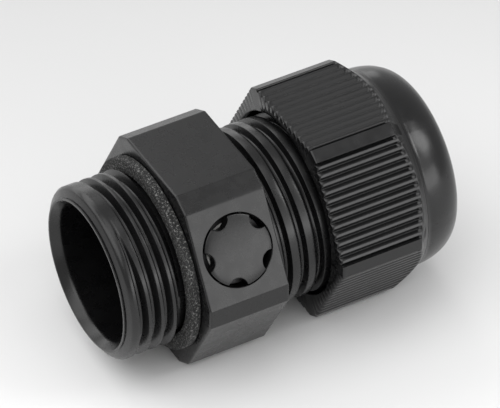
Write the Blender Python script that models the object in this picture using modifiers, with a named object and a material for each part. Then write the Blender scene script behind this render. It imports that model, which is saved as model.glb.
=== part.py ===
"""Cable gland with a vent in its hexagon: M20x1.5 entry thread, clamping cage, seal and dome nut.

The gland lies on its side, as it would on a bench: +X runs from the entry nose to the dome, and +Z is up,
square to two opposite flats. The origin is on the axis at mid-length.

Every piece is modelled in the gland's own frame, where Z is the axis, counted from the plane in which the
gasket seats, and X points up. An angle there turns from up towards the vent side.
"""

from math import cos, pi, radians, sin, sqrt

import bmesh
import bpy

MM = 0.001
SEGMENTS = 36                 # facets round a turned piece, and sections in a turn of thread
SMALL_SEGMENTS = 24
SEGMENT_DEG = 360 / SEGMENTS
MERGE = 0.000005              # merge distances, in metres
WELD = 0.000002

# Overall stations along the axis, in millimetres from the seat plane
NOSE = -8.3
HEX_END = 9.73
NUT_FRONT = 16.3
NECK_END = 21.0
DOME_END = 33.3
MIDDLE = (NOSE + DOME_END) / 2

# Hexagons: 24 mm across flats, with flat facets where the corners would be
APOTHEM = 12.0
BODY_CORNER = 13.18
NUT_CORNER = 13.42

# Entry thread M20x1.5
ENTRY_R = 10.0
ENTRY_ROOT_R = 9.1
ENTRY_PITCH = 1.5
ENTRY_MOUTH = 0.56            # half of the groove's width at the crest
ENTRY_FLOOR = 0.16
ENTRY_GROOVE_Z = -3.5         # where the groove's centre passes GROOVE_DEG
RELIEF_R = 9.05
RELIEF_START = -1.45
RELIEF_SLOPE = 0.25
ENTRY_TURNS_DEG = (-705, 690)
FADE_DEG = 60                 # a groove grows to its full depth over this angle

# Cap thread, coarse, between the neck and the dome nut
CAP_R = 10.25
CAP_ROOT_R = 9.45
CAP_PITCH = 2.0
CAP_MOUTH = 0.45
CAP_FLOOR = 0.20
CAP_GROOVE_Z = 13.2
CAP_TURNS_DEG = (-465, 1590)
GROOVE_DEG = 50.0
BEYOND = 0.25                 # how far a thread cutter stands clear of the surface that it cuts
BLEND = 0.02                  # keeps two joined surfaces from lying exactly in each other

# Nose: the end face's outer edge, then a shoulder on the way out to the thread
LIP_R = 8.93
NOSE_SHOULDER = (9.75, 0.5)   # radius, and distance from the nose
NOSE_LENGTH = 0.9
NECK_TIP_R = 9.8
NECK_TAPER = 0.45
MOUTH_R = 8.65                # the bore flares out to this, for the cable's sake
MOUTH_DEPTH = 1.0
CHAMFERED = 0.3               # edges of the neck's root and of the nut's thread

# Bores
BORE_R = 8.0
CAGE_SEAT_R = 8.7
CAGE_SEAT = 17.5

# Entry gasket, as thick as the gap that it fills
GASKET_IN_R = 9.35
GASKET_OUT_R = 11.15
GASKET = (-1.05, -0.05)
GASKET_EDGE = 0.12
GASKET_LEAD = 0.25            # the front face slopes in from the panel's hole to the thread
PANEL_HOLE_R = 10.15

# Vent, measured from the gland's axis along the vent's own axis
VENT_Z = 4.95
VENT_DEG = 60.0
POCKET_R = 4.1
POCKET_FLOOR = 9.4
AIR_HOLE_R = 1.25
VENT_RING = (9.5, 10.0)
VENT_RING_R = (2.4, 3.5)
SUPPORT = (10.1, 10.5)
SUPPORT_R = 3.85
SUPPORT_HOLES = 6             # round one in the middle
SUPPORT_HOLE_R = 0.5
SUPPORT_CIRCLE_R = 1.7
MEMBRANE = (10.6, 10.75)
MEMBRANE_R = 3.2
CAP_BASE = 10.9
CAP_EDGE = 12.1
CAP_TOP = 12.4
VENT_CAP_R = 3.97
CHAMBER_R = 2.9               # hollow under the cap, over the membrane
CHAMBER_DEPTH = 0.5
NOTCHES = 5
NOTCH_R = 1.25
NOTCH_CENTRE_R = 4.3
NOTCH_DEG = 2.7

# Clamping cage
FINGERS = 12
CAGE_IN_R = 7.95
CAGE_SKIRT_R = 8.6
CAGE_OUT_R = 9.2
CAGE_START = 17.7
FLANGE = (21.15, 21.9)
HINGE_Z = 22.2
HINGE_R = 8.6
FINGER_ROOT = 22.05
FINGER_PAD = 22.6
FINGER_TIP = 27.5
PAD_EDGE = 0.3
TIP_EDGE = (0.35, 0.6)        # radial, along
WEB = 0.25                    # half of a living hinge's thickness
ROOT_HALF = 1.9               # half of a finger's width, at its root and at its tip
TIP_HALF = 1.35

# Seal insert
SEAL_IN_R = 5.8
SEAL_OUT_R = 7.75
SEAL = (18.0, 32.7)
SEAL_TAPER = 31.0
SEAL_TIP_R = 7.0
SEAL_LEAD = 0.6

# Dome nut
NUT_RIDGE_R = 9.6             # crest of the nut's internal thread
NUT_FLOOR_R = 10.42
NUT_MOUTH_HALF = 0.88
NUT_FLOOR_HALF = 0.64
NUT_MOUTH_R = 10.75
NUT_THREAD = (17.0, 24.8)
NUT_TURNS_DEG = (400, 2220)
NUT_RELIEF_R = 10.5
CONE = (26.3, 32.8)
CONE_R = (9.8, 7.2)
CHAMFER_START = 26.3          # the cone that takes off the hexagon's corners, then a shallower shoulder
CHAMFER_KNEE = (12.0, 27.5)
SHOULDER = (11.75, 28.05)
DOME_R = 11.6
DOME_TIP_R = 8.2
DOME_START = 28.2
DOME_STEPS = 8
DOME_SQUARE = 0.9             # power that makes the dome fuller than an ellipse
RIBS = 12
RIB_PITCH = 0.985
RIB_LAND = 0.30
RIB_DEPTH = 0.40

BLACK = (0.020, 0.020, 0.021)
SOFT_BLACK = (0.012, 0.012, 0.013)


# ---------------------------------------------------------------- scene, materials and small helpers

for old in list(bpy.data.objects):
    bpy.data.objects.remove(old, do_unlink=True)

PARTS = bpy.data.collections.new("cable_gland")
TOOLS = bpy.data.collections.new("cutters")
for group in (PARTS, TOOLS):
    bpy.context.scene.collection.children.link(group)


def material(name, colour, roughness):
    made = bpy.data.materials.new(name)
    made.use_nodes = True
    shader = made.node_tree.nodes["Principled BSDF"]
    shader.inputs["Base Color"].default_value = (*colour, 1.0)
    shader.inputs["Roughness"].default_value = roughness
    shader.inputs["Metallic"].default_value = 0.0
    return made


def frame(name, parent=None, location=(0, 0, 0), rotation=(0, 0, 0)):
    empty = bpy.data.objects.new(name, None)
    empty.parent = parent
    empty.location = location
    empty.rotation_euler = rotation
    PARTS.objects.link(empty)
    return empty


# Z of this frame is the gland's axis, and its X is up.
GLAND = frame("gland_frame", location=(-MIDDLE * MM, 0, 0), rotation=(pi, -pi / 2, 0))
# Z of this frame is the vent's axis, square to the hexagon's vent flat, and its X points to the nose.
VENT = frame("vent_frame", GLAND, (0, 0, VENT_Z * MM), (0, pi / 2, radians(VENT_DEG)))


def add(name, mesh, parent=GLAND, look=None, group=PARTS):
    obj = bpy.data.objects.new(name, mesh)
    obj.parent = parent
    group.objects.link(obj)
    if look:
        mesh.materials.append(look)
    if group is TOOLS:
        obj.hide_render = True
        obj.display_type = "WIRE"
    return obj


def mesh_from(name, bm, smooth_deg=30):
    bmesh.ops.recalc_face_normals(bm, faces=bm.faces)
    mesh = bpy.data.meshes.new(name)
    bm.to_mesh(mesh)
    bm.free()
    mesh.shade_smooth()
    mesh.set_sharp_from_angle(angle=radians(smooth_deg))
    return mesh


def turned(name, profile, closed=True, segments=SEGMENTS, **place):
    """A solid of revolution. The profile is (radius, z) in mm, and runs down its outer side."""
    mesh = bpy.data.meshes.new(name)
    count = len(profile)
    edges = [(i, i + 1) for i in range(count - 1)]
    if closed:
        edges.append((count - 1, 0))
    mesh.from_pydata([(r * MM, 0, z * MM) for r, z in profile], edges, [])
    obj = add(name, mesh, **place)
    screw = obj.modifiers.new("turn", "SCREW")
    screw.axis = "Z"
    screw.angle = 2 * pi
    screw.steps = screw.render_steps = segments
    screw.use_merge_vertices = True
    screw.merge_threshold = MERGE
    return obj


def cylinder(name, radius, z0, z1, segments=SMALL_SEGMENTS, **place):
    bm = bmesh.new()
    bmesh.ops.create_cone(bm, cap_ends=True, segments=segments, radius1=radius * MM,
                          radius2=radius * MM, depth=(z1 - z0) * MM)
    bmesh.ops.translate(bm, verts=bm.verts, vec=(0, 0, (z0 + z1) / 2 * MM))
    return add(name, mesh_from(name, bm), **place)


def prism(name, outline, z0, z1, **place):
    """A flat outline of (x, y) points in mm, extruded from z0 to z1."""
    curve = bpy.data.curves.new(name, "CURVE")
    curve.dimensions = "2D"
    curve.fill_mode = "BOTH"
    curve.extrude = (z1 - z0) / 2 * MM
    spline = curve.splines.new("POLY")
    spline.points.add(len(outline) - 1)
    for point, (x, y) in zip(spline.points, outline):
        point.co = (x * MM, y * MM, 0, 1)
    spline.use_cyclic_u = True
    drawn = add(name + "_outline", curve, group=TOOLS)
    depsgraph = bpy.context.evaluated_depsgraph_get()
    flat = bpy.data.meshes.new_from_object(drawn.evaluated_get(depsgraph))
    bpy.data.objects.remove(drawn, do_unlink=True)
    bm = bmesh.new()
    bm.from_mesh(flat)
    bmesh.ops.remove_doubles(bm, verts=bm.verts, dist=MERGE)
    bmesh.ops.translate(bm, verts=bm.verts, vec=(0, 0, (z0 + z1) / 2 * MM))
    return add(name, mesh_from(name, bm), **place)


def boolean(obj, cutter, operation="DIFFERENCE"):
    cut = obj.modifiers.new(cutter.name, "BOOLEAN")
    cut.operation = operation
    cut.object = cutter
    cut.solver = "EXACT"
    return obj


def weld(obj):
    """Closes up the specks that a chain of cuts leaves."""
    joint = obj.modifiers.new("weld", "WELD")
    joint.merge_threshold = WELD
    return obj


def polar(radius, degrees):
    return radius * cos(radians(degrees)), radius * sin(radians(degrees))


def groove(mouth, mouth_r, floor, floor_r):
    """A groove's corners, from half its width at its mouth and at its floor.

    Each is (z, radius, radius where the groove has faded to nothing).
    """
    away = BEYOND if mouth_r > floor_r else -BEYOND
    wide = mouth + (mouth - floor) * away / (mouth_r - floor_r)
    outer = mouth_r + away
    faded = mouth_r + away / 5
    return [(-wide, outer, outer), (-floor, floor_r, faded), (floor, floor_r, faded), (wide, outer, outer)]


def thread_cutter(name, section, pitch, passes, turns_deg, fade_deg=0.0):
    """The solid that cuts a thread's groove.

    section is its corners about the groove's centre, passes is the z at which the centre goes by
    GROOVE_DEG, and turns_deg is the first and the last angle. The groove grows from nothing over its first
    fade_deg, so it is a loft between unlike sections.
    """
    first, last = (round(a / SEGMENT_DEG) for a in turns_deg)
    bm = bmesh.new()
    rings = []
    for step in range(first, last + 1):
        angle = step * SEGMENT_DEG
        centre = passes + pitch * (angle - GROOVE_DEG) / 360
        depth = min(1.0, (step - first) * SEGMENT_DEG / fade_deg) if fade_deg else 1.0
        ring = []
        for z, radius, faded in section:
            x, y = polar(faded + (radius - faded) * depth, angle)
            ring.append(bm.verts.new((x * MM, y * MM, (centre + z) * MM)))
        rings.append(ring)
    corners = len(section)
    for near, far in zip(rings, rings[1:]):
        for i in range(corners):
            j = (i + 1) % corners
            bm.faces.new((near[i], near[j], far[j], far[i]))
    bm.faces.new(rings[0])
    bm.faces.new(rings[-1])
    bmesh.ops.triangulate(bm, faces=bm.faces)
    return add(name, mesh_from(name, bm), group=TOOLS)


def hexagon_outline(corner):
    """A hexagon across APOTHEM with its corners cut off at that distance from the axis."""
    half = (corner - APOTHEM * cos(pi / 6)) / sin(pi / 6)
    points = []
    for face in range(6):
        for along in (-half, half):
            points.append(on_face(face, APOTHEM, along))
    return points


def on_face(face, height, along):
    """The point of a hexagon's face that is so far out, and so far along the face."""
    outward = polar(1.0, 60 * face)
    sideways = polar(1.0, 60 * face + 90)
    return (outward[0] * height + sideways[0] * along, outward[1] * height + sideways[1] * along)


# ---------------------------------------------------------------- gland body

def gland_body(look):
    inside_hexagon = HEX_END - 1
    outside = [
        (0, NECK_END), (NECK_TIP_R, NECK_END), (CAP_R, NECK_END - NECK_TAPER), (CAP_R, inside_hexagon),
        (RELIEF_R, inside_hexagon - CHAMFERED), (RELIEF_R, RELIEF_START),
        (ENTRY_R, RELIEF_START - RELIEF_SLOPE), (ENTRY_R, NOSE + NOSE_LENGTH),
        (NOSE_SHOULDER[0], NOSE + NOSE_SHOULDER[1]), (LIP_R, NOSE), (0, NOSE),
    ]
    body = turned("gland_body", outside, closed=False, look=look)
    boolean(body, prism("hexagon", hexagon_outline(BODY_CORNER), 0, HEX_END, group=TOOLS), "UNION")
    bore = [
        (0, NECK_END + 1), (CAGE_SEAT_R, NECK_END + 1), (CAGE_SEAT_R, CAGE_SEAT), (BORE_R, CAGE_SEAT),
        (BORE_R, NOSE + MOUTH_DEPTH), (MOUTH_R, NOSE), (MOUTH_R, NOSE - 1), (0, NOSE - 1),
    ]
    boolean(body, turned("bore", bore, closed=False, group=TOOLS))
    entry_groove = groove(ENTRY_MOUTH, ENTRY_R, ENTRY_FLOOR, ENTRY_ROOT_R)
    boolean(body, thread_cutter("entry_groove", entry_groove, ENTRY_PITCH, ENTRY_GROOVE_Z, ENTRY_TURNS_DEG,
                                FADE_DEG))
    cap_groove = groove(CAP_MOUTH, CAP_R, CAP_FLOOR, CAP_ROOT_R)
    boolean(body, thread_cutter("cap_groove", cap_groove, CAP_PITCH, CAP_GROOVE_Z, CAP_TURNS_DEG, FADE_DEG))
    pocket = cylinder("vent_pocket", POCKET_R, POCKET_FLOOR, APOTHEM + 1, 32, parent=VENT, group=TOOLS)
    air_hole = cylinder("air_hole", AIR_HOLE_R, BORE_R - 2, POCKET_FLOOR + 1, 16, parent=VENT, group=TOOLS)
    boolean(body, pocket)
    boolean(body, air_hole)
    return weld(body)


def entry_gasket(look):
    front, back = GASKET
    return turned("entry_gasket", [
        (GASKET_OUT_R - GASKET_EDGE, back), (GASKET_OUT_R, back - GASKET_EDGE),
        (GASKET_OUT_R, front + GASKET_EDGE), (GASKET_OUT_R - GASKET_EDGE, front),
        (PANEL_HOLE_R, front), (GASKET_IN_R, front + GASKET_LEAD), (GASKET_IN_R, back),
    ], look=look)


# ---------------------------------------------------------------- vent

def vent_cap(look):
    """A domed cap with scallops in its rim that let the air out, and a chamber underneath."""
    dome = [(0, CAP_TOP)]
    for share in (0.35, 0.6, 0.8, 0.93):
        dome.append((VENT_CAP_R * share, CAP_EDGE + (CAP_TOP - CAP_EDGE) * sqrt(1 - share ** 2)))
    chamber = CAP_BASE + CHAMBER_DEPTH
    dome += [(VENT_CAP_R, CAP_EDGE), (VENT_CAP_R, CAP_BASE)]
    dome += [(CHAMBER_R, CAP_BASE), (CHAMBER_R, chamber), (0, chamber)]
    cap = turned("vent_cap", dome, closed=False, segments=SMALL_SEGMENTS, parent=VENT, look=look)
    for k in range(NOTCHES):
        notch = cylinder(f"scallop_{k + 1}", NOTCH_R, CAP_BASE - 1, CAP_TOP + 1, 20, parent=VENT, group=TOOLS)
        x, y = polar(NOTCH_CENTRE_R, NOTCH_DEG + 360 / NOTCHES * k)
        notch.location = (x * MM, y * MM, 0)
        boolean(cap, notch)
    return cap


def vent_support(look):
    """The perforated plate that holds the membrane flat against a head of water."""
    plate = cylinder("vent_support", SUPPORT_R, *SUPPORT, parent=VENT, look=look)
    for k in range(SUPPORT_HOLES + 1):
        drill = cylinder(f"support_hole_{k + 1}", SUPPORT_HOLE_R, SUPPORT[0] - 1, SUPPORT[1] + 1, 10,
                         parent=VENT, group=TOOLS)
        if k:
            x, y = polar(SUPPORT_CIRCLE_R, 360 / SUPPORT_HOLES * k)
            drill.location = (x * MM, y * MM, 0)
        boolean(plate, drill)
    return plate


def vent_seal_ring(look):
    low, high = VENT_RING
    inner, outer = VENT_RING_R
    return turned("vent_seal_ring", [(outer, high), (outer, low), (inner, low), (inner, high)],
                  segments=SMALL_SEGMENTS, parent=VENT, look=look)


def vent_membrane(look):
    return cylinder("vent_membrane", MEMBRANE_R, *MEMBRANE, parent=VENT, look=look)


# ---------------------------------------------------------------- clamping cage

def clamp_ring(look):
    """The cage's ring: a skirt in the body's mouth and a flange that rests on the neck's end."""
    return turned("clamp_ring", [
        (CAGE_OUT_R, FLANGE[1]), (CAGE_OUT_R, FLANGE[0]), (CAGE_SKIRT_R, FLANGE[0]),
        (CAGE_SKIRT_R, CAGE_START), (CAGE_IN_R, CAGE_START), (CAGE_IN_R, FLANGE[1]),
    ], look=look)


def clamp_fingers(look):
    """Fingers that bend inwards on living hinges. Each one's origin is on its hinge line."""
    ring = turned("finger_ring", [
        (CAGE_OUT_R - TIP_EDGE[0], FINGER_TIP), (CAGE_OUT_R, FINGER_TIP - TIP_EDGE[1]),
        (CAGE_OUT_R, FINGER_PAD + PAD_EDGE), (HINGE_R + WEB, FINGER_PAD), (HINGE_R + WEB, FINGER_ROOT),
        (HINGE_R - WEB, FINGER_ROOT), (HINGE_R - WEB, FINGER_PAD), (CAGE_IN_R, FINGER_PAD + PAD_EDGE),
        (CAGE_IN_R, FINGER_TIP - PAD_EDGE), (CAGE_IN_R + PAD_EDGE, FINGER_TIP),
    ], group=TOOLS)
    bm = bmesh.new()
    bmesh.ops.create_cube(bm, size=1)
    low, high = FINGER_ROOT - 0.5, FINGER_TIP + 0.5
    for vert in bm.verts:
        along, half = (low, ROOT_HALF) if vert.co.z < 0 else (high, TIP_HALF)
        vert.co = ((HINGE_R + HINGE_R * vert.co.x) * MM, 2 * half * vert.co.y * MM, along * MM)
    boolean(ring, add("finger_wedge", mesh_from("finger_wedge", bm), group=TOOLS), "INTERSECT")
    depsgraph = bpy.context.evaluated_depsgraph_get()
    mesh = bpy.data.meshes.new_from_object(ring.evaluated_get(depsgraph))
    mesh.name = "clamp_finger"
    for vert in mesh.vertices:
        vert.co.x -= HINGE_R * MM
        vert.co.z -= HINGE_Z * MM
    mesh.materials.clear()
    mesh.materials.append(look)
    for tool in (ring, bpy.data.objects["finger_wedge"]):
        bpy.data.objects.remove(tool, do_unlink=True)
    for k in range(FINGERS):
        turn = 360 / FINGERS * (k + 0.5)
        finger = add(f"clamp_finger_{k + 1:02d}", mesh)
        x, y = polar(HINGE_R, turn)
        finger.location = (x * MM, y * MM, HINGE_Z * MM)
        finger.rotation_euler = (0, 0, radians(turn))


def seal_insert(look):
    """The elastomer sleeve that grips the cable, tapered where the dome nut pushes it."""
    return turned("seal_insert", [
        (SEAL_TIP_R, SEAL[1]), (SEAL_OUT_R, SEAL_TAPER), (SEAL_OUT_R, SEAL[0]),
        (SEAL_IN_R + SEAL_LEAD, SEAL[0]), (SEAL_IN_R, SEAL[0] + SEAL_LEAD),
        (SEAL_IN_R, SEAL[1] - SEAL_LEAD), (SEAL_IN_R + SEAL_LEAD, SEAL[1]),
    ], look=look)


# ---------------------------------------------------------------- dome nut

def ribbed_outline():
    """The nut's hexagon, with V grooves between narrow lands along every flat."""
    half = (NUT_CORNER - APOTHEM * cos(pi / 6)) / sin(pi / 6)
    points = []
    for face in range(6):
        points.append(on_face(face, APOTHEM, -half))
        groove_from = -half
        for rib in range(RIBS):
            centre = (rib - (RIBS - 1) / 2) * RIB_PITCH
            land = (centre - RIB_LAND / 2, centre + RIB_LAND / 2)
            points.append(on_face(face, APOTHEM - RIB_DEPTH, (groove_from + land[0]) / 2))
            points.append(on_face(face, APOTHEM, land[0]))
            points.append(on_face(face, APOTHEM, land[1]))
            groove_from = land[1]
        points.append(on_face(face, APOTHEM - RIB_DEPTH, (groove_from + half) / 2))
        points.append(on_face(face, APOTHEM, half))
    return points


def dome_nut(look):
    slope = (NUT_CORNER - CHAMFER_KNEE[0]) / (CHAMFER_KNEE[1] - CHAMFER_START)
    wide = NUT_CORNER + 1
    envelope = [
        (0, SHOULDER[1]), SHOULDER, CHAMFER_KNEE, (wide, CHAMFER_START - (wide - NUT_CORNER) / slope),
        (wide, NUT_FRONT - 1), (0, NUT_FRONT - 1),
    ]
    nut = prism("dome_nut", ribbed_outline(), NUT_FRONT, SHOULDER[1] + 0.5, look=look)
    boolean(nut, turned("skirt_envelope", envelope, closed=False, group=TOOLS), "INTERSECT")
    dome = [(0, DOME_END), (DOME_TIP_R, DOME_END)]
    for i in range(1, DOME_STEPS + 1):
        turn = pi / 2 * i / DOME_STEPS
        dome.append((DOME_TIP_R + (DOME_R - DOME_TIP_R) * sin(turn) ** DOME_SQUARE,
                     DOME_START + (DOME_END - DOME_START) * cos(turn) ** DOME_SQUARE))
    dome += [(DOME_R - BLEND, SHOULDER[1] - 1), (0, SHOULDER[1] - 1)]
    boolean(nut, turned("dome", dome, closed=False, group=TOOLS), "UNION")
    cavity = [
        (0, DOME_END + 1), (CONE_R[1], DOME_END + 1), (CONE_R[1], CONE[1]), (CONE_R[0], CONE[0]),
        (NUT_RELIEF_R, CONE[0]), (NUT_RELIEF_R, NUT_THREAD[1]), (NUT_RIDGE_R, NUT_THREAD[1] - CHAMFERED),
        (NUT_RIDGE_R, NUT_THREAD[0] + CHAMFERED), (NUT_MOUTH_R, NUT_THREAD[0]), (NUT_MOUTH_R, NUT_FRONT - 1),
        (0, NUT_FRONT - 1),
    ]
    boolean(nut, turned("nut_cavity", cavity, closed=False, group=TOOLS))
    section = groove(NUT_MOUTH_HALF, NUT_RIDGE_R, NUT_FLOOR_HALF, NUT_FLOOR_R)
    # The groove of the nut is where the body's ridge is, half a pitch from the body's groove.
    boolean(nut, thread_cutter("nut_groove", section, CAP_PITCH, CAP_GROOVE_Z + CAP_PITCH / 2, NUT_TURNS_DEG))
    return weld(nut)


nylon = material("black_nylon", BLACK, 0.42)
nut_nylon = material("black_nylon_nut", BLACK, 0.36)
cage_nylon = material("cage_nylon", (0.030, 0.030, 0.032), 0.45)
gasket_fibre = material("gasket_fibre", (0.060, 0.060, 0.062), 0.85)
elastomer = material("elastomer", SOFT_BLACK, 0.75)
membrane_film = material("membrane_film", (0.62, 0.62, 0.60), 0.70)

gland_body(nylon)
entry_gasket(gasket_fibre)
vent_cap(nylon)
vent_support(nylon)
vent_seal_ring(elastomer)
vent_membrane(membrane_film)
clamp_ring(cage_nylon)
clamp_fingers(cage_nylon)
seal_insert(elastomer)
dome_nut(nut_nylon)
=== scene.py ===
"""The looks of a black nylon cable gland with a vent in its hexagon.

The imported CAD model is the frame. Every fine surface here is built round an axis, as rows of points: a row
runs once round the axis, and the rows lead along the piece's section. Lengths are in millimetres until a
mesh is made. A point of a section is a complex number: its real part is the place along the axis, and its
imaginary part is the distance from the axis.
"""

from math import ceil, cos, floor, pi, radians, sin, tan

import bmesh
import bpy
import numpy as np
from mathutils import Matrix, Vector, noise


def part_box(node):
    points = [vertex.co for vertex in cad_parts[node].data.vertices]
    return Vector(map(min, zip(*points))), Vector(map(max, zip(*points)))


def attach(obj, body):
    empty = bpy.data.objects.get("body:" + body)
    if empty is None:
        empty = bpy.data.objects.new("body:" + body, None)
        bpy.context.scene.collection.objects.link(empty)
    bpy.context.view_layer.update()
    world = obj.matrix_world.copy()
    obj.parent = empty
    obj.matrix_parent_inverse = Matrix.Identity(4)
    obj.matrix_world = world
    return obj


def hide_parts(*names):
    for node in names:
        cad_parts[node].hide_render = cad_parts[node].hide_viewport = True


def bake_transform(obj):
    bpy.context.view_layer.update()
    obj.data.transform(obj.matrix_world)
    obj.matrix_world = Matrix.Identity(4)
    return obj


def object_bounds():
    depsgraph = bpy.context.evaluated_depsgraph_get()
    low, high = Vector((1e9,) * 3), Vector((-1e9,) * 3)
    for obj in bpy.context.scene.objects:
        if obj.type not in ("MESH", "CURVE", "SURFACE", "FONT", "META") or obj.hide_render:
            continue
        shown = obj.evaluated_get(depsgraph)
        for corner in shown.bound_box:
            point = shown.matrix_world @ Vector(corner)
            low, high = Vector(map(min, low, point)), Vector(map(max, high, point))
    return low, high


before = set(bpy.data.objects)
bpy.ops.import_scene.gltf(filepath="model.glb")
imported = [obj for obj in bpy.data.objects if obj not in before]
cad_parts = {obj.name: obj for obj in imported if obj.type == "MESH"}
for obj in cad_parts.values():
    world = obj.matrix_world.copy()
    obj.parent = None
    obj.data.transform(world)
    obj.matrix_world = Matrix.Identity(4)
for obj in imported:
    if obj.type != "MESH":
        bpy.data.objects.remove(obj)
cad_low, cad_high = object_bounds()

MM = 0.001
MERGE = 0.000001              # points closer than this, in metres, become one
CRISP_DEG = 44                # after a cut, edges that turn more than this are shaded as sharp

# ---------------------------------------------------------------- sizes, in millimetres

# Places along the axis, from the plane in which the gasket seats
NOSE = -8.3
RELIEF_START = -1.45
RELIEF_END = -0.5
HEX_END = 9.73
NUT_FRONT = 16.3
CAGE_SEAT = 17.5
NECK_END = 21.0
DOME_END = 33.3

# The two hexagons: the body's and the nut's
APOTHEM = 12.0
BODY_CORNER = 13.18           # from the axis to the small flat that cuts each corner
NUT_CORNER = 13.42
CHAMFER = 0.16                # how far their edges are broken

# Distances from the axis
BORE_R = 8.0
MOUTH_R = 8.65                # the bore's flared mouth at the nose
LIP_R = 8.93                  # outer edge of the nose's end face
CAGE_SEAT_R = 8.7
RELIEF_R = 9.05
ENTRY_R, ENTRY_ROOT_R = 10.0, 9.1
NECK_R, NECK_ROOT_R = 10.25, 9.45

ENTRY_PITCH, NECK_PITCH = 1.5, 2.0
GROOVE_DEG = 50.0             # the angle at which each thread's groove passes its given place

# The vent, on one flat. Heights of its surfaces are distances from the gland's axis
VENT_PLACE = 4.95
VENT_DEG = 60.0
POCKET_R, POCKET_FLOOR = 4.1, 9.4
AIR_HOLE_R = 1.25

SEAT_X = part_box("gland_body")[0].x / MM - NOSE


def axis_frame(origin, along, zero):
    """A frame whose Z runs along an axis, and whose X is where angles round it start. In millimetres."""
    along = Vector(along).normalized()
    zero = Vector(zero).normalized()
    turned = Matrix((zero, along.cross(zero), along)).transposed().to_4x4()
    return Matrix.Translation(origin) @ turned


GLAND = axis_frame((SEAT_X, 0, 0), (1, 0, 0), (0, 0, 1))
VENT_OUT = (0, -sin(radians(VENT_DEG)), cos(radians(VENT_DEG)))
VENT = axis_frame((SEAT_X + VENT_PLACE, 0, 0), VENT_OUT, (-1, 0, 0))


# ---------------------------------------------------------------- section lines

def rounded(*corners, step_deg=16):
    """A line through (along, radius) corners. A third number rounds a corner with that radius."""
    line = []
    spots = [complex(c[0], c[1]) for c in corners]
    for i, corner in enumerate(corners):
        spot = spots[i]
        if len(corner) < 3 or i in (0, len(corners) - 1):
            line.append(spot)
            continue
        arriving = (spot - spots[i - 1]) / abs(spot - spots[i - 1])
        leaving = (spots[i + 1] - spot) / abs(spots[i + 1] - spot)
        turn = np.angle(leaving / arriving)
        start = spot - arriving * corner[2] * tan(abs(turn) / 2)
        centre = start + 1j * np.sign(turn) * corner[2] * arriving
        steps = max(2, ceil(abs(np.degrees(turn)) / step_deg))
        line.extend(centre + (start - centre) * np.exp(1j * turn * np.arange(steps + 1) / steps))
    return np.array(line)


def eased(share):
    """A share from 0 to 1, made to start and end gently."""
    share = np.clip(share, 0, 1)
    return share * share * (3 - 2 * share)


def soft_minimum(first, second, soft):
    """The smaller of two distances, with the corner between them rounded over about soft."""
    overlap = np.maximum(soft - np.abs(first - second), 0)
    return np.minimum(first, second) - overlap ** 2 / (4 * soft)


# ---------------------------------------------------------------- rows and skins

class Rows:
    """Rows of points round an axis, in order along a piece's section."""

    def __init__(self, deg):
        self.deg = np.asarray(deg, float)
        self.along, self.radius, self.joins = [], [], []

    def add(self, along, radius, step=0):
        """Adds rows. The end of a row meets the start of the row that is step rows on, as on a helix."""
        shape = (max(np.shape(along)[0], np.shape(radius)[0]), len(self.deg))
        first = len(self.joins)
        self.along.extend(np.broadcast_to(along, shape))
        self.radius.extend(np.broadcast_to(radius, shape))
        last = first + shape[0] - 1
        self.joins.extend(min(first + i + step, last) for i in range(shape[0]))

    def line(self, line):
        """Adds a turned line."""
        self.add(line.real[:, None], line.imag[:, None])

    def skin(self, name, place=GLAND, closed=True, smooth_deg=50):
        """The rows as a mesh object. The last row closes on the first, unless the ends are on the axis."""
        along, radius = np.array(self.along), np.array(self.radius)
        turn = np.radians(self.deg)
        local = np.stack([radius * np.cos(turn), radius * np.sin(turn), along], -1).reshape(-1, 3)
        basis = np.array(place)
        points = (local @ basis[:3, :3].T + basis[:3, 3]) * MM
        count, columns = along.shape
        near = np.arange(count if closed else count - 1)
        far = (near + 1) % count
        joins = np.array(self.joins)
        index = np.arange(count * columns).reshape(count, columns)
        following = np.hstack([index[:, 1:], index[joins, :1]])
        quads = np.stack([index[near], following[near], following[far], index[far]], -1).reshape(-1, 4)
        mesh = bpy.data.meshes.new(name)
        mesh.from_pydata(points.tolist(), [], quads.tolist())
        bm = bmesh.new()
        bm.from_mesh(mesh)
        bmesh.ops.remove_doubles(bm, verts=bm.verts, dist=MERGE)
        bmesh.ops.dissolve_degenerate(bm, edges=bm.edges, dist=MERGE)
        bmesh.ops.recalc_face_normals(bm, faces=bm.faces)
        bm.to_mesh(mesh)
        bm.free()
        mesh.shade_smooth()
        mesh.set_sharp_from_angle(angle=radians(smooth_deg))
        obj = bpy.data.objects.new(name, mesh)
        bpy.context.scene.collection.objects.link(obj)
        return obj


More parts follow.
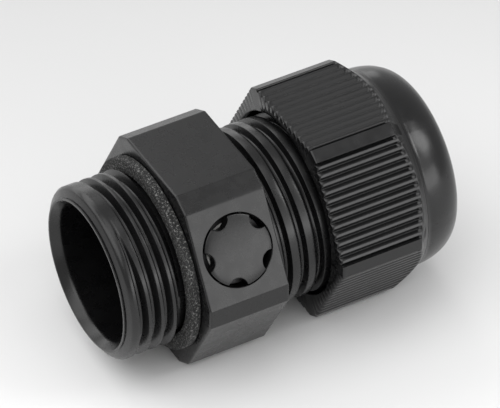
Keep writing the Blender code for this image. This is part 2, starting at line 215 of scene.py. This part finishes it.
class Thread:
    """A thread's groove, swept round the axis.

    section is the line across one pitch, with the groove's centre at 0. passes is the place along the axis
    where one turn of the groove crosses GROOVE_DEG. The groove grows over fade degrees from the angle first.
    """

    def __init__(self, section, pitch, passes, first, fade=60.0):
        self.section, self.pitch, self.passes = section, pitch, passes
        self.first, self.fade = first, fade
        self.crest = section.imag[0]

    def centre(self, deg, turn):
        """Where the groove's centre is at an angle, on a given turn."""
        return self.passes + self.pitch * ((deg - GROOVE_DEG) / 360 + turn)

    def grown(self, deg, turn):
        """How much of the groove's depth and of its width is there. The width doesn't start from nothing."""
        narrowest = 0.3
        share = eased((deg + 360 * turn - self.first) / self.fade)
        return share, narrowest + (1 - narrowest) * share

    def radius(self, deg, along):
        """Distance from the axis to the thread's surface."""
        turn = np.round((along - self.centre(deg, 0)) / self.pitch)
        share, width = self.grown(deg, turn)
        across = (along - self.centre(deg, turn)) / width
        full = np.interp(across, self.section.real, self.section.imag)
        return self.crest + (full - self.crest) * share

    def add_rows(self, rows, start, end):
        """Adds rows that follow the helix between two places, where they lie flat."""
        first = floor((start - self.passes) / self.pitch) - 1
        last = ceil((end - self.passes) / self.pitch) + 1
        across = self.section.real[:-1]
        along = []
        for turn in range(first, last + 1):
            width = self.grown(rows.deg, turn)[1]
            along.extend(self.centre(rows.deg, turn) + place * width for place in across)
        along = np.clip(np.array(along), start, end)
        rows.add(along, self.radius(rows.deg, along), step=len(across))


def hexagon_radius(deg, corner, soft=0.06):
    """Distance from the axis to a hexagon whose corners are cut flat and slightly rounded."""
    def flats(distance, offset):
        off = (deg - offset + 30) % 60 - 30
        return distance / np.cos(np.radians(off))

    return soft_minimum(flats(APOTHEM, 0), flats(corner, 30), soft)


def half_face(corner):
    """Half the width of a face, up to the small flat that cuts its corner."""
    return (corner - APOTHEM * cos(pi / 6)) / sin(pi / 6)


def edge_deg(corner):
    """Angle from a face's middle to the edge where its corner is cut."""
    return float(np.degrees(np.arctan2(half_face(corner), APOTHEM)))


def columns(corner_deg, spacing=1.5, close=(0.12, 0.3, 0.6)):
    """Angles round the axis, evenly spaced, with a few closer ones at the hexagon's edges."""
    angles = set(np.round(np.arange(0, 360, spacing), 3))
    for face in range(6):
        for edge in (60 * face - corner_deg, 60 * face + corner_deg):
            angles = {a for a in angles if abs((a - edge + 180) % 360 - 180) > close[-1] + 0.3}
            angles |= {round((edge + side * off) % 360, 3) for side in (-1, 1) for off in (0, *close)}
    return np.array(sorted(angles))


# ---------------------------------------------------------------- materials

def shader_material(name):
    made = bpy.data.materials.new(name)
    made.use_nodes = True
    tree = made.node_tree
    return made, tree, tree.nodes["Principled BSDF"]


def noise_node(tree, scale, detail=3.0, roughness=0.55):
    """Noise in the piece's own space, with about scale waves to a metre."""
    coordinates = tree.nodes.get("coordinates")
    if coordinates is None:
        coordinates = tree.nodes.new("ShaderNodeTexCoord")
        coordinates.name = "coordinates"
    texture = tree.nodes.new("ShaderNodeTexNoise")
    texture.inputs["Scale"].default_value = scale
    texture.inputs["Detail"].default_value = detail
    texture.inputs["Roughness"].default_value = roughness
    tree.links.new(coordinates.outputs["Object"], texture.inputs["Vector"])
    return texture.outputs["Fac"]


def spread(tree, value, low, high, from_low=0.3, from_high=0.7):
    """A value brought to the range low to high."""
    node = tree.nodes.new("ShaderNodeMapRange")
    node.inputs["From Min"].default_value = from_low
    node.inputs["From Max"].default_value = from_high
    node.inputs["To Min"].default_value = low
    node.inputs["To Max"].default_value = high
    tree.links.new(value, node.inputs["Value"])
    return node.outputs["Result"]


def blended(tree, share, first, second):
    """A colour between first and second. The mix node has sockets of its own for colours."""
    factor, colour_a, colour_b, result = 0, 6, 7, 2
    node = tree.nodes.new("ShaderNodeMix")
    node.data_type = "RGBA"
    node.inputs[colour_a].default_value = (*first, 1)
    node.inputs[colour_b].default_value = (*second, 1)
    tree.links.new(share, node.inputs[factor])
    return node.outputs[result]


def bump(tree, height, strength, distance, under=None):
    """Bumps of a height, on top of the bumps under them."""
    node = tree.nodes.new("ShaderNodeBump")
    node.inputs["Strength"].default_value = strength
    node.inputs["Distance"].default_value = distance
    tree.links.new(height, node.inputs["Height"])
    if under is not None:
        tree.links.new(under, node.inputs["Normal"])
    return node.outputs["Normal"]


def moulded(name, dark, light, roughness, ior=1.48, grain=1.0):
    """Moulded plastic: an even colour with faint clouding, a satin gloss that varies, and a fine grain."""
    made, tree, shader = shader_material(name)
    shader.inputs["IOR"].default_value = ior
    clouds = spread(tree, noise_node(tree, 260.0), 0, 1)
    tree.links.new(blended(tree, clouds, dark, light), shader.inputs["Base Color"])
    patches = noise_node(tree, 700.0, detail=5.0)
    tree.links.new(spread(tree, patches, *roughness), shader.inputs["Roughness"])
    waves = bump(tree, noise_node(tree, 450.0, detail=2.0), 0.25 * grain, 0.00002)
    fine = bump(tree, noise_node(tree, 7000.0, detail=4.0), 0.35 * grain, 0.000006, under=waves)
    tree.links.new(fine, shader.inputs["Normal"])
    return made


def fibre_board(name):
    """Compressed fibre: grey, matt, with pale flecks and a torn grain."""
    made, tree, shader = shader_material(name)
    shader.inputs["Specular IOR Level"].default_value = 0.3
    flecks = spread(tree, noise_node(tree, 5000.0, detail=8.0, roughness=0.8), 0, 1, 0.53, 0.66)
    colour = blended(tree, flecks, (0.018, 0.018, 0.018), (0.42, 0.42, 0.41))
    tree.links.new(colour, shader.inputs["Base Color"])
    shader.inputs["Roughness"].default_value = 0.85
    coarse = bump(tree, noise_node(tree, 1500.0, detail=4.0), 0.7, 0.00008)
    fine = bump(tree, noise_node(tree, 6000.0, detail=5.0), 0.8, 0.00003, under=coarse)
    tree.links.new(fine, shader.inputs["Normal"])
    return made


NYLON_COLOURS = (0.0028, 0.0028, 0.0030), (0.0042, 0.0042, 0.0045)

black_nylon = moulded("black_nylon", *NYLON_COLOURS, roughness=(0.24, 0.32))
nut_nylon = moulded("black_nylon_nut", *NYLON_COLOURS, roughness=(0.20, 0.28))
cage_nylon = moulded("cage_nylon", (0.012, 0.012, 0.013), (0.018, 0.018, 0.019), roughness=(0.36, 0.48))
rubber = moulded("elastomer", (0.005, 0.005, 0.0055), (0.008, 0.008, 0.0085),
                 roughness=(0.55, 0.72), grain=1.6)
gasket_fibre = fibre_board("gasket_fibre")
film = moulded("membrane_film", (0.55, 0.55, 0.53), (0.66, 0.66, 0.64), roughness=(0.6, 0.8), ior=1.38)


def finish_piece(obj, look, slot_name, body, *nodes):
    """Gives a fine mesh its look, the nodes that it stands for, and the body that it rides on. slot_name is
    not used.
    """
    even = obj.modifiers.new("even_shading", "WEIGHTED_NORMAL")
    even.keep_sharp = True
    even.weight = 100         # large faces decide, so narrow ones beside them don't tilt the shading
    obj.data.materials.clear()
    obj.data.materials.append(look)
    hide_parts(*nodes)
    if body:
        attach(obj, body)


def cut(obj, cutter):
    """Cuts obj with cutter for good, and removes the cutter."""
    tool = obj.modifiers.new("cut", "BOOLEAN")
    tool.operation = "DIFFERENCE"
    tool.object = cutter
    tool.solver = "EXACT"
    depsgraph = bpy.context.evaluated_depsgraph_get()
    mesh = bpy.data.meshes.new_from_object(obj.evaluated_get(depsgraph))
    obj.modifiers.clear()
    old, obj.data = obj.data, mesh
    mesh.name = obj.name
    mesh.set_sharp_from_angle(angle=radians(CRISP_DEG))
    bpy.data.meshes.remove(old)
    bpy.data.objects.remove(cutter, do_unlink=True)


# ---------------------------------------------------------------- gland body

ENTRY_THREAD = Thread(
    rounded((-ENTRY_PITCH / 2, ENTRY_R), (-0.56, ENTRY_R, 0.07), (-0.16, ENTRY_ROOT_R, 0.10),
            (0.16, ENTRY_ROOT_R, 0.10), (0.56, ENTRY_R, 0.07), (ENTRY_PITCH / 2, ENTRY_R)),
    pitch=ENTRY_PITCH, passes=-3.5, first=-705)
NECK_THREAD = Thread(
    rounded((-NECK_PITCH / 2, NECK_R), (-0.45, NECK_R, 0.50), (-0.18, NECK_ROOT_R, 0.12),
            (0.18, NECK_ROOT_R, 0.12), (0.42, NECK_R, 0.06), (NECK_PITCH / 2, NECK_R)),
    pitch=NECK_PITCH, passes=13.2, first=-465)


def gland_body():
    rows = Rows(columns(edge_deg(BODY_CORNER)))
    nose_end = NOSE + 0.95
    shoulder = RELIEF_START - 0.25
    neck_taper = NECK_END - 0.45
    add_nose(rows, nose_end)
    ENTRY_THREAD.add_rows(rows, nose_end, shoulder)
    relief = rounded((shoulder, ENTRY_R), (RELIEF_START, RELIEF_R, 0.08), (RELIEF_END, RELIEF_R), step_deg=12)
    add_run_out(rows, ENTRY_THREAD, relief)
    add_hexagon(rows)
    NECK_THREAD.add_rows(rows, HEX_END, neck_taper)
    add_run_out(rows, NECK_THREAD, rounded((neck_taper, NECK_R), (NECK_END, 9.8), (NECK_END, 9.3)))
    add_bore(rows)
    body = rows.skin("gland_body_fine")
    cut(body, cutter_pin("vent_pocket", POCKET_R, POCKET_FLOOR, APOTHEM + 0.5, mouth=0.07))
    cut(body, cutter_pin("air_hole", AIR_HOLE_R, BORE_R - 1, POCKET_FLOOR + 0.3))
    finish_piece(body, black_nylon, "black_nylon", "root", "gland_body")


def add_nose(rows, nose_end):
    """The bore's flared mouth, a narrow lip with a nick behind it, and a cone out to the thread."""
    mouth = (NOSE + 1.6, BORE_R), (NOSE + 1.0, BORE_R, 0.9), (NOSE, MOUTH_R, 0.05)
    lip = (NOSE, LIP_R, 0.05), (NOSE + 0.12, LIP_R, 0.03)
    nick = (NOSE + 0.20, LIP_R - 0.12, 0.02), (NOSE + 0.28, LIP_R + 0.12, 0.05)
    cone = (NOSE + 0.58, ENTRY_R - 0.24, 0.4), (nose_end, ENTRY_R)
    rows.line(rounded(*mouth, *lip, *nick, *cone, step_deg=12))


def add_run_out(rows, thread, line):
    """A turned line that cuts a thread off, so the lower of the two shows."""
    along = line.real[:, None] + 0 * rows.deg
    rows.add(along, np.minimum(thread.radius(rows.deg, along), line.imag[:, None]))


def add_hexagon(rows):
    """The hexagon, with its edges just broken. Narrow rings beside the edges keep the shading flat."""
    outline = hexagon_radius(rows.deg, BODY_CORNER)
    edge_rows = ((0, CHAMFER + 0.25), (0, CHAMFER), (CHAMFER * 0.3, CHAMFER * 0.3), (CHAMFER, 0),
                 (CHAMFER + 0.12, 0))
    rows.add([[0.0]], [[RELIEF_R]])
    for place, sunk in edge_rows:
        rows.add([[place]], [outline - sunk])
    for place, sunk in reversed(edge_rows):
        rows.add([[HEX_END - place]], [outline - sunk])
    rows.add([[HEX_END]], [[NECK_R]])


def add_bore(rows):
    """The seat of the clamping cage in the neck, and the bore back to the nose."""
    seat = ((NECK_END, CAGE_SEAT_R + 0.15), (NECK_END - 0.15, CAGE_SEAT_R), (CAGE_SEAT, CAGE_SEAT_R, 0.1),
            (CAGE_SEAT, BORE_R, 0.1))
    rows.line(rounded(*seat, (CAGE_SEAT - 1, BORE_R), (0, BORE_R), (NOSE + 2.0, BORE_R)))


def cutter_pin(name, radius, low, high, mouth=0.0):
    """A round cutter on the vent's axis. mouth breaks the edge of the hole where it meets the flat."""
    rows = Rows(np.arange(0, 360, 3))
    rows.line(rounded((low, 0.0), (low, radius - 0.1), (low + 0.1, radius), (APOTHEM - mouth, radius),
                      (APOTHEM + mouth, radius + 2 * mouth), (high, radius + 2 * mouth), (high, 0.0)))
    return rows.skin(name, place=VENT, closed=False)


# ---------------------------------------------------------------- entry gasket

GASKET_INNER_R = 9.35
GASKET_ROUGHNESS = 0.04
COARSE_GRAIN, FINE_GRAIN = 2600.0, 7000.0     # waves to a metre


def entry_gasket():
    """The flat ring. Its face and edge have rows close enough to take the fibre's roughness."""
    low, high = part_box("entry_gasket")
    front, back, outer = low.x / MM - SEAT_X, high.x / MM - SEAT_X, high.z / MM
    face = [(front, radius) for radius in np.arange(GASKET_INNER_R + 0.15, outer - 0.2, 0.15)]
    edge = [(along, outer) for along in np.arange(front + 0.2, back - 0.15, 0.12)]
    rows = Rows(np.arange(0, 360, 0.5))
    rows.line(rounded((front + 0.1, GASKET_INNER_R), *face, (front, outer, 0.14), *edge, (back, outer, 0.10),
                      (back, outer - 0.4), (back, GASKET_INNER_R), step_deg=15))
    gasket = rows.skin("entry_gasket_fine")
    middle = Vector(((SEAT_X + (front + back) / 2) * MM, 0, 0))
    for vert in gasket.data.vertices:
        rough = (noise.noise(vert.co * COARSE_GRAIN) + noise.noise(vert.co * FINE_GRAIN)) / 2
        inwards = (middle - vert.co).normalized()
        vert.co += inwards * (abs(rough) * GASKET_ROUGHNESS * MM)
    finish_piece(gasket, gasket_fibre, "gasket_fibre", "root", "entry_gasket")


# ---------------------------------------------------------------- vent cap

CAP_BASE, CAP_EDGE, CAP_TOP, CAP_R = 10.9, 12.08, 12.4, 3.97
CAP_EDGE_SOFT = 0.10
HOLLOW_R, HOLLOW_DEPTH = 2.7, 0.5         # under the cap
NOTCHES, NOTCH_R, NOTCH_CENTRE_R, NOTCH_DEG = 5, 1.25, 4.3, 2.7


def scalloped_rim(deg):
    """Distance from the cap's own axis to its rim, with a scallop at each notch."""
    sector = 360 / NOTCHES
    off = np.radians((deg - NOTCH_DEG + sector / 2) % sector - sector / 2)
    reach = NOTCH_CENTRE_R * np.sin(off)
    inside = np.maximum(NOTCH_R ** 2 - reach ** 2, 0)
    scallop = np.where(inside > 0, NOTCH_CENTRE_R * np.cos(off) - np.sqrt(inside), CAP_R + 1)
    return soft_minimum(scallop, CAP_R, soft=0.08)


def domed_top(radius):
    """Height of the cap's top at a distance from the cap's own axis."""
    return CAP_EDGE + (CAP_TOP - CAP_EDGE) * np.sqrt(np.maximum(1 - (radius / CAP_R) ** 2, 0))


def vent_cap():
    """A low domed cap with scallops in its rim."""
    rows = Rows(np.arange(0, 360, 0.75))
    rim = scalloped_rim(rows.deg)
    rows.add([[CAP_BASE + HOLLOW_DEPTH]], [[0.0]])
    rows.line(rounded((CAP_BASE + HOLLOW_DEPTH, HOLLOW_R - 0.1), (CAP_BASE, HOLLOW_R)))
    rows.add([[CAP_BASE], [CAP_BASE + 0.05]], [rim - 0.08, rim])
    edge = CAP_EDGE_SOFT
    for sunk, drop in ((0, 1), (0.1, 0.55), (0.3, 0.28), (0.65, 0.08)):
        rows.add([domed_top(rim - edge) - edge * drop], [rim - edge * sunk])
    for share in (1.0, 0.97, 0.9, 0.8, 0.7, 0.6, 0.5, 0.4, 0.3, 0.2, 0.1):
        radius = (rim - edge) * share
        rows.add([domed_top(radius)], [radius])
    rows.add([[CAP_TOP]], [[0.0]])
    cap = rows.skin("vent_cap_fine", place=VENT, closed=False)
    finish_piece(cap, black_nylon, "black_nylon", "root", "vent_cap")


# ---------------------------------------------------------------- dome nut

RIBS, RIB_PITCH, RIB_LAND, RIB_DEPTH = 12, 0.985, 0.30, 0.40

NUT_MOUTH_R, NUT_BORE_R = 10.75, 10.45
NUT_BORE_END = 26.2
DOME_BORE_R = 7.2
DOME_START, DOME_START_R = 28.2, 11.6
DOME_TIP_R = 8.2
DOME_FULLNESS = 0.87          # 1 is a quarter of an ellipse, and less is fuller
CONE_FOOT = 27.5              # where the cone that takes off the corners is as near as the flats
CONE_LENGTH = 1.2
RIB_RUN_OUT = 0.55


def ribbed_outline():
    """Angle and distance from the axis of the nut's outline, and the distance without its grooves."""
    half = half_face(NUT_CORNER)
    floor_r = APOTHEM - RIB_DEPTH
    beyond = (half + 0.4, APOTHEM - 0.23)
    start = -half
    corners = [(-beyond[0], beyond[1]), (-half, APOTHEM, 0.1), (-half + 0.12, APOTHEM, 0.03)]
    for rib in range(RIBS):
        middle = (rib - (RIBS - 1) / 2) * RIB_PITCH
        left, right = middle - RIB_LAND / 2, middle + RIB_LAND / 2
        corners += [((start + left) / 2, floor_r, 0.06), (left, APOTHEM, 0.05), (right, APOTHEM, 0.05)]
        start = right
    corners += [((start + half) / 2, floor_r, 0.06), (half - 0.12, APOTHEM, 0.03), (half, APOTHEM, 0.1),
                beyond]
    line = rounded(*corners, step_deg=35)[1:-1]
    face_deg = np.degrees(np.arctan2(line.real, line.imag))
    deg = np.concatenate([face_deg + 60 * face for face in range(6)]) % 360
    radius = np.tile(np.abs(line), 6)
    order = np.argsort(deg)
    deg, radius = deg[order], radius[order]
    return deg, radius, np.maximum(hexagon_radius(deg, NUT_CORNER), radius)


def dome_nut():
    deg, ribbed, plain = ribbed_outline()
    rows = Rows(deg)
    add_nut_bore(rows)
    add_dome(rows)
    # The cone that takes off the hexagon's corners, and the ribs' run-out below it
    rows.line(rounded((DOME_START - 0.02, DOME_START_R + 0.02), (DOME_START - 0.25, DOME_START_R + 0.18, 0.1),
                      (CONE_FOOT, APOTHEM)))
    slope = (NUT_CORNER - APOTHEM) / CONE_LENGTH
    meets = CONE_FOOT - (plain - APOTHEM) / slope
    for share in (0.02, 0.12, 0.3, 0.5, 0.7, 0.88, 1.0):
        rows.add([meets - RIB_RUN_OUT * share], [plain - (plain - ribbed) * eased(share)])
    # The flats down to the mouth
    rows.add([[NUT_FRONT + 0.7], [NUT_FRONT + 0.3]], [ribbed, ribbed])
    for place, sunk in ((CHAMFER, 0), (CHAMFER * 0.3, CHAMFER * 0.3), (0, CHAMFER)):
        rows.add([[NUT_FRONT + place]], [np.minimum(ribbed, plain - sunk)])
    nut = rows.skin("dome_nut_fine", smooth_deg=60)
    finish_piece(nut, nut_nylon, "black_nylon_nut", "nut", "dome_nut")


def add_nut_bore(rows):
    """Inside the nut, from its mouth to the dome's tip. The thread isn't here, because it never shows."""
    mouth = (NUT_FRONT, NUT_MOUTH_R + 0.1), (NUT_FRONT + 0.1, NUT_MOUTH_R), (NUT_FRONT + 0.7, NUT_MOUTH_R)
    bore = (NUT_FRONT + 1.0, NUT_BORE_R), (NUT_BORE_END, NUT_BORE_R), (NUT_BORE_END + 0.1, 9.8)
    cone = (DOME_END - 0.7, DOME_BORE_R + 0.05), (DOME_END - 0.5, DOME_BORE_R, 0.3)
    tip = (DOME_END - 0.2, DOME_BORE_R, 0.12), (DOME_END, DOME_BORE_R + 0.12, 0.12), (DOME_END, DOME_TIP_R)
    rows.line(rounded(*mouth, *bore, *cone, *tip))


def add_dome(rows):
    """The dome, from its tip back to its shoulder."""
    turn = np.linspace(0, pi / 2, 25)[1:]
    along = DOME_START + (DOME_END - DOME_START) * np.cos(turn) ** DOME_FULLNESS
    radius = DOME_TIP_R + (DOME_START_R - DOME_TIP_R) * np.sin(turn) ** DOME_FULLNESS
    rows.add(along[:, None], radius[:, None])


# ---------------------------------------------------------------- seal insert

SEAL_INNER_R, SEAL_OUTER_R, SEAL_TIP_R = 5.8, 7.75, 7.0


def seal_insert():
    """The sleeve. Its straight walls have rows all along."""
    low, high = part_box("seal_insert")
    start, end = low.x / MM - SEAT_X, high.x / MM - SEAT_X
    inner, outer = SEAL_INNER_R, SEAL_OUTER_R
    steps = np.linspace(start + 1, end - 2.2, 16)
    foot = (start, inner + 0.5, 0.2), (start, outer - 0.1), (start, outer, 0.25)
    outside = [(place, outer) for place in steps]
    tip = (end - 1.7, outer, 0.4), (end, SEAL_TIP_R, 0.25), (end, inner + 0.45, 0.25), (end - 0.7, inner, 0.4)
    inside = [(place, inner) for place in reversed(steps)]
    rows = Rows(np.arange(0, 360, 2))
    rows.line(rounded(*foot, *outside, *tip, *inside, (start + 0.7, inner, 0.4)))
    seal = rows.skin("seal_insert_fine")
    finish_piece(seal, rubber, "elastomer", None, "seal_insert")
    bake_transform(seal)


# ---------------------------------------------------------------- pieces that stay as the CAD has them

def carried_over():
    """The parts inside: the clamping cage and the vent's layers, with softened edges."""
    looks = {"vent_support": cage_nylon, "vent_seal_ring": rubber, "vent_membrane": film,
             "clamp_ring": cage_nylon}
    for name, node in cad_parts.items():
        look = cage_nylon if name.startswith("clamp_finger") else looks.get(name)
        if look is None:
            continue
        node.data.materials.clear()
        node.data.materials.append(look)
        edges = node.modifiers.new("edges", "BEVEL")
        edges.width = 0.06 * MM
        edges.segments = 2
        edges.limit_method = "ANGLE"
        edges.angle_limit = radians(40)


gland_body()
entry_gasket()
vent_cap()
dome_nut()
seal_insert()
carried_over()


# ---------------------------------------------------------------- floor, lights and camera

CAMERA_AZIMUTH, CAMERA_ELEVATION, CAMERA_ROLL = radians(-28.59), radians(40.95), radians(-0.5)
CAMERA_DISTANCE = 0.5757      # in metres, as the target and the lights
CAMERA_TARGET = Vector((0.00008, 0.0008, 0.00085))
LENS, SENSOR_WIDTH = 375.7, 36            # in millimetres, as Blender has them


def floor_paper_painted_light():
    """White paper with painted light: its colour is paler towards the camera and greyer behind the object,
    standing in for light that falls off away from the camera.
    """
    near, far = -0.03, 0.06
    made, tree, shader = shader_material("floor_paper_painted_light")
    shader.inputs["Roughness"].default_value = 0.7
    coordinates = tree.nodes.new("ShaderNodeTexCoord")
    turned = tree.nodes.new("ShaderNodeMapping")
    turned.inputs["Rotation"].default_value = (0, 0, -CAMERA_AZIMUTH)
    tree.links.new(coordinates.outputs["Object"], turned.inputs["Vector"])
    parts = tree.nodes.new("ShaderNodeSeparateXYZ")
    tree.links.new(turned.outputs["Vector"], parts.inputs["Vector"])
    share = spread(tree, parts.outputs["Y"], 1, 0, from_low=near, from_high=far)
    # Painted light: the paper's colour runs from grey behind the object to pale towards the camera
    colour = blended(tree, share, (0.54, 0.54, 0.54), (0.82, 0.82, 0.82))
    tree.links.new(colour, shader.inputs["Base Color"])
    return made


def floor_sheet():
    bm = bmesh.new()
    bmesh.ops.create_grid(bm, x_segments=4, y_segments=4, size=3.0)
    mesh = bpy.data.meshes.new("floor")
    bm.to_mesh(mesh)
    bm.free()
    mesh.materials.append(floor_paper_painted_light())
    obj = bpy.data.objects.new("floor", mesh)
    obj.location.z = cad_low.z
    bpy.context.scene.collection.objects.link(obj)


def towards(azimuth, elevation):
    """The direction from the object to a place round it. Azimuth 0 is the -Y side."""
    return Vector((sin(azimuth) * cos(elevation), -cos(azimuth) * cos(elevation), sin(elevation)))


def soft_box(name, azimuth, elevation, distance, size, luminance):
    """An area light that looks at the object, as bright to the eye as luminance."""
    direction = towards(radians(azimuth), radians(elevation))
    light = bpy.data.lights.new(name, "AREA")
    light.shape = "RECTANGLE"
    light.size, light.size_y = size
    light.energy = luminance * size[0] * size[1] * pi
    obj = bpy.data.objects.new(name, light)
    obj.location = direction * distance
    obj.rotation_euler = direction.to_track_quat("Z", "Y").to_euler()
    bpy.context.scene.collection.objects.link(obj)


def studio():
    """Even white surroundings, with soft boxes whose reflections draw the black plastic's faces."""
    world = bpy.data.worlds.new("studio")
    bpy.context.scene.world = world
    world.use_nodes = True
    background = world.node_tree.nodes["Background"]
    background.inputs["Color"].default_value = (1, 1, 1, 1)
    background.inputs["Strength"].default_value = 0.55
    soft_box("left", azimuth=290, elevation=58, distance=0.9, size=(1.1, 0.6), luminance=1.9)
    soft_box("back", azimuth=196, elevation=40, distance=0.9, size=(1.0, 0.45), luminance=1.9)
    soft_box("top", azimuth=60, elevation=88, distance=0.9, size=(0.5, 0.5), luminance=1.4)
    soft_box("front", azimuth=24, elevation=10, distance=0.8, size=(0.7, 0.26), luminance=2.9)
    soft_box("front_high", azimuth=25, elevation=31, distance=0.8, size=(0.6, 0.28), luminance=0.8)
    soft_box("window", azimuth=56, elevation=43, distance=0.7, size=(0.24, 0.30), luminance=5.0)
    soft_box("rim", azimuth=180, elevation=10, distance=0.9, size=(1.1, 0.28), luminance=1.2)


def camera():
    """The photograph's view: a long lens from the nose side, well above."""
    direction = towards(CAMERA_AZIMUTH, CAMERA_ELEVATION)
    data = bpy.data.cameras.new("camera")
    data.sensor_width = SENSOR_WIDTH
    data.lens = LENS
    data.clip_start, data.clip_end = 0.01, 20
    obj = bpy.data.objects.new("camera", data)
    obj.location = CAMERA_TARGET + direction * CAMERA_DISTANCE
    level = direction.to_track_quat("Z", "Y")
    obj.rotation_euler = (level @ Matrix.Rotation(CAMERA_ROLL, 3, "Z").to_quaternion()).to_euler()
    bpy.context.scene.collection.objects.link(obj)
    bpy.context.scene.camera = obj


floor_sheet()
studio()
camera()
bpy.context.scene.view_settings.view_transform = "Standard"
